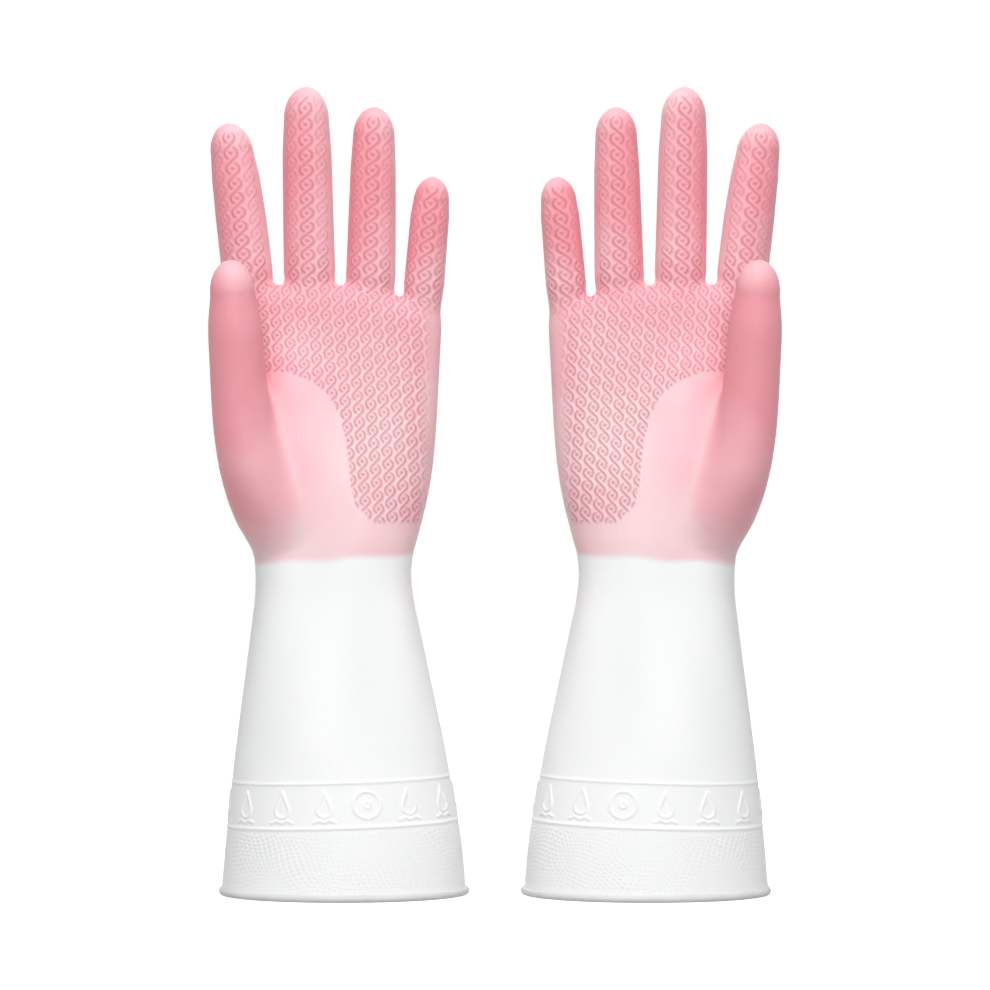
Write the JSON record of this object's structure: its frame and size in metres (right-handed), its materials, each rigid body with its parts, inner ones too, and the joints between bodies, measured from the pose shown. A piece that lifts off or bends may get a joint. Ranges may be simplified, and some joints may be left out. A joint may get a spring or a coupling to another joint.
{
  "type": "rubber gloves",
  "caption": "Pair of long household rubber gloves with flared white cuffs, rolled rims and pink gripping hands, standing with fingers up.",
  "frame": {"origin": "Midway between the two gloves on the plane that both rolled rims rest on.", "axes": "+X from the left-hand glove to the right-hand glove, -Y the way the palms face, +Z from the rims towards the fingertips."},
  "size_m": [0.2258, 0.0776, 0.32],
  "materials": {
    "hand_rubber": "satin",
    "cuff_rubber": "satin",
    "bead_rubber": "satin"
  },
  "bodies": {
    "left_cuff": {"left_cuff": "cuff_rubber", "left_cuff_bead": "bead_rubber"},
    "left_palm": {"left_palm": "hand_rubber"},
    "left_thumb_base": {"left_thumb_base": "hand_rubber"},
    "left_thumb_tip": {"left_thumb_tip": "hand_rubber"},
    "left_index_base": {"left_index_base": "hand_rubber"},
    "left_index_mid": {"left_index_mid": "hand_rubber"},
    "left_index_tip": {"left_index_tip": "hand_rubber"},
    "left_middle_base": {"left_middle_base": "hand_rubber"},
    "left_middle_mid": {"left_middle_mid": "hand_rubber"},
    "left_middle_tip": {"left_middle_tip": "hand_rubber"},
    "left_ring_base": {"left_ring_base": "hand_rubber"},
    "left_ring_mid": {"left_ring_mid": "hand_rubber"},
    "left_ring_tip": {"left_ring_tip": "hand_rubber"},
    "left_little_base": {"left_little_base": "hand_rubber"},
    "left_little_mid": {"left_little_mid": "hand_rubber"},
    "left_little_tip": {"left_little_tip": "hand_rubber"},
    "right_cuff": {"right_cuff": "cuff_rubber", "right_cuff_bead": "bead_rubber"},
    "right_palm": {"right_palm": "hand_rubber"},
    "right_thumb_base": {"right_thumb_base": "hand_rubber"},
    "right_thumb_tip": {"right_thumb_tip": "hand_rubber"},
    "right_index_base": {"right_index_base": "hand_rubber"},
    "right_index_mid": {"right_index_mid": "hand_rubber"},
    "right_index_tip": {"right_index_tip": "hand_rubber"},
    "right_middle_base": {"right_middle_base": "hand_rubber"},
    "right_middle_mid": {"right_middle_mid": "hand_rubber"},
    "right_middle_tip": {"right_middle_tip": "hand_rubber"},
    "right_ring_base": {"right_ring_base": "hand_rubber"},
    "right_ring_mid": {"right_ring_mid": "hand_rubber"},
    "right_ring_tip": {"right_ring_tip": "hand_rubber"},
    "right_little_base": {"right_little_base": "hand_rubber"},
    "right_little_mid": {"right_little_mid": "hand_rubber"},
    "right_little_tip": {"right_little_tip": "hand_rubber"}
  },
  "joints": [
    {"name": "left_wrist_bend", "type": "hinge", "parent": "left_cuff", "child": "left_palm", "pos_m": [-0.0643, 0.0033, 0.123], "axis": [1, 0, 0], "range_deg": [-40, 40], "stiffness_Nm_per_rad": 0.3},
    {"name": "left_thumb_spread", "type": "hinge", "parent": "left_palm", "child": "left_thumb_base", "pos_m": [-0.1004, -0.0227, 0.208], "axis": [0, -1, 0], "range_deg": [-15, 60], "stiffness_Nm_per_rad": 0.02},
    {"name": "left_thumb_curl", "type": "hinge", "parent": "left_thumb_base", "child": "left_thumb_tip", "pos_m": [-0.10129, -0.02617, 0.22503], "axis": [0.2588, 0.9659, 0], "range_deg": [0, 35], "stiffness_Nm_per_rad": 0.02},
    {"name": "left_index_knuckle", "type": "hinge", "parent": "left_palm", "child": "left_index_base", "pos_m": [-0.0985, 0.0033, 0.2465], "axis": [1, 0, 0], "range_deg": [-15, 60], "stiffness_Nm_per_rad": 0.02},
    {"name": "left_index_bend", "type": "hinge", "parent": "left_index_base", "child": "left_index_mid", "pos_m": [-0.10075, 0.0033, 0.2672], "axis": [1, 0, 0], "range_deg": [0, 70], "stiffness_Nm_per_rad": 0.02},
    {"name": "left_index_tip_bend", "type": "hinge", "parent": "left_index_mid", "child": "left_index_tip", "pos_m": [-0.10261, 0.0033, 0.28436], "axis": [1, 0, 0], "range_deg": [0, 35], "stiffness_Nm_per_rad": 0.02},
    {"name": "left_middle_knuckle", "type": "hinge", "parent": "left_palm", "child": "left_middle_base", "pos_m": [-0.0739, 0.0033, 0.247], "axis": [1, 0, 0], "range_deg": [-15, 60], "stiffness_Nm_per_rad": 0.02},
    {"name": "left_middle_bend", "type": "hinge", "parent": "left_middle_base", "child": "left_middle_mid", "pos_m": [-0.07448, 0.0033, 0.27254], "axis": [1, 0, 0], "range_deg": [0, 70], "stiffness_Nm_per_rad": 0.02},
    {"name": "left_middle_tip_bend", "type": "hinge", "parent": "left_middle_mid", "child": "left_middle_tip", "pos_m": [-0.07496, 0.0033, 0.29371], "axis": [1, 0, 0], "range_deg": [0, 35], "stiffness_Nm_per_rad": 0.02},
    {"name": "left_ring_knuckle", "type": "hinge", "parent": "left_palm", "child": "left_ring_base", "pos_m": [-0.0496, 0.0033, 0.245], "axis": [1, 0, 0], "range_deg": [-15, 60], "stiffness_Nm_per_rad": 0.02},
    {"name": "left_ring_bend", "type": "hinge", "parent": "left_ring_base", "child": "left_ring_mid", "pos_m": [-0.04903, 0.0033, 0.26844], "axis": [1, 0, 0], "range_deg": [0, 70], "stiffness_Nm_per_rad": 0.02},
    {"name": "left_ring_tip_bend", "type": "hinge", "parent": "left_ring_mid", "child": "left_ring_tip", "pos_m": [-0.04855, 0.0033, 0.28787], "axis": [1, 0, 0], "range_deg": [0, 35], "stiffness_Nm_per_rad": 0.02},
    {"name": "left_little_knuckle", "type": "hinge", "parent": "left_palm", "child": "left_little_base", "pos_m": [-0.0294, 0.0033, 0.242], "axis": [1, 0, 0], "range_deg": [-15, 60], "stiffness_Nm_per_rad": 0.02},
    {"name": "left_little_bend", "type": "hinge", "parent": "left_little_base", "child": "left_little_mid", "pos_m": [-0.02821, 0.0033, 0.25683], "axis": [1, 0, 0], "range_deg": [0, 70], "stiffness_Nm_per_rad": 0.02},
    {"name": "left_little_tip_bend", "type": "hinge", "parent": "left_little_mid", "child": "left_little_tip", "pos_m": [-0.02722, 0.0033, 0.26911], "axis": [1, 0, 0], "range_deg": [0, 35], "stiffness_Nm_per_rad": 0.02},
    {"name": "right_wrist_bend", "type": "hinge", "parent": "right_cuff", "child": "right_palm", "pos_m": [0.0643, 0.0033, 0.123], "axis": [1, 0, 0], "range_deg": [-40, 40], "stiffness_Nm_per_rad": 0.3},
    {"name": "right_thumb_spread", "type": "hinge", "parent": "right_palm", "child": "right_thumb_base", "pos_m": [0.1004, -0.0227, 0.208], "axis": [0, 1, 0], "range_deg": [-15, 60], "stiffness_Nm_per_rad": 0.02},
    {"name": "right_thumb_curl", "type": "hinge", "parent": "right_thumb_base", "child": "right_thumb_tip", "pos_m": [0.10129, -0.02617, 0.22503], "axis": [0.2588, -0.9659, 0], "range_deg": [0, 35], "stiffness_Nm_per_rad": 0.02},
    {"name": "right_index_knuckle", "type": "hinge", "parent": "right_palm", "child": "right_index_base", "pos_m": [0.0985, 0.0033, 0.2465], "axis": [1, 0, 0], "range_deg": [-15, 60], "stiffness_Nm_per_rad": 0.02},
    {"name": "right_index_bend", "type": "hinge", "parent": "right_index_base", "child": "right_index_mid", "pos_m": [0.10075, 0.0033, 0.2672], "axis": [1, 0, 0], "range_deg": [0, 70], "stiffness_Nm_per_rad": 0.02},
    {"name": "right_index_tip_bend", "type": "hinge", "parent": "right_index_mid", "child": "right_index_tip", "pos_m": [0.10261, 0.0033, 0.28436], "axis": [1, 0, 0], "range_deg": [0, 35], "stiffness_Nm_per_rad": 0.02},
    {"name": "right_middle_knuckle", "type": "hinge", "parent": "right_palm", "child": "right_middle_base", "pos_m": [0.0739, 0.0033, 0.247], "axis": [1, 0, 0], "range_deg": [-15, 60], "stiffness_Nm_per_rad": 0.02},
    {"name": "right_middle_bend", "type": "hinge", "parent": "right_middle_base", "child": "right_middle_mid", "pos_m": [0.07448, 0.0033, 0.27254], "axis": [1, 0, 0], "range_deg": [0, 70], "stiffness_Nm_per_rad": 0.02},
    {"name": "right_middle_tip_bend", "type": "hinge", "parent": "right_middle_mid", "child": "right_middle_tip", "pos_m": [0.07496, 0.0033, 0.29371], "axis": [1, 0, 0], "range_deg": [0, 35], "stiffness_Nm_per_rad": 0.02},
    {"name": "right_ring_knuckle", "type": "hinge", "parent": "right_palm", "child": "right_ring_base", "pos_m": [0.0496, 0.0033, 0.245], "axis": [1, 0, 0], "range_deg": [-15, 60], "stiffness_Nm_per_rad": 0.02},
    {"name": "right_ring_bend", "type": "hinge", "parent": "right_ring_base", "child": "right_ring_mid", "pos_m": [0.04903, 0.0033, 0.26844], "axis": [1, 0, 0], "range_deg": [0, 70], "stiffness_Nm_per_rad": 0.02},
    {"name": "right_ring_tip_bend", "type": "hinge", "parent": "right_ring_mid", "child": "right_ring_tip", "pos_m": [0.04855, 0.0033, 0.28787], "axis": [1, 0, 0], "range_deg": [0, 35], "stiffness_Nm_per_rad": 0.02},
    {"name": "right_little_knuckle", "type": "hinge", "parent": "right_palm", "child": "right_little_base", "pos_m": [0.0294, 0.0033, 0.242], "axis": [1, 0, 0], "range_deg": [-15, 60], "stiffness_Nm_per_rad": 0.02},
    {"name": "right_little_bend", "type": "hinge", "parent": "right_little_base", "child": "right_little_mid", "pos_m": [0.02821, 0.0033, 0.25683], "axis": [1, 0, 0], "range_deg": [0, 70], "stiffness_Nm_per_rad": 0.02},
    {"name": "right_little_tip_bend", "type": "hinge", "parent": "right_little_mid", "child": "right_little_tip", "pos_m": [0.02722, 0.0033, 0.26911], "axis": [1, 0, 0], "range_deg": [0, 35], "stiffness_Nm_per_rad": 0.02},
    {"name": "right_glove_apart", "type": "slide", "parent": "left_cuff", "child": "right_cuff", "axis": [1, 0, 0], "range_m": [0, 0.15]}
  ],
  "couplings": [
    {"joint": "left_index_tip_bend", "follows": "left_index_bend", "ratio": 0.5},
    {"joint": "left_middle_tip_bend", "follows": "left_middle_bend", "ratio": 0.5},
    {"joint": "left_ring_tip_bend", "follows": "left_ring_bend", "ratio": 0.5},
    {"joint": "left_little_tip_bend", "follows": "left_little_bend", "ratio": 0.5},
    {"joint": "right_index_tip_bend", "follows": "right_index_bend", "ratio": 0.5},
    {"joint": "right_middle_tip_bend", "follows": "right_middle_bend", "ratio": 0.5},
    {"joint": "right_ring_tip_bend", "follows": "right_ring_bend", "ratio": 0.5},
    {"joint": "right_little_tip_bend", "follows": "right_little_bend", "ratio": 0.5}
  ]
}
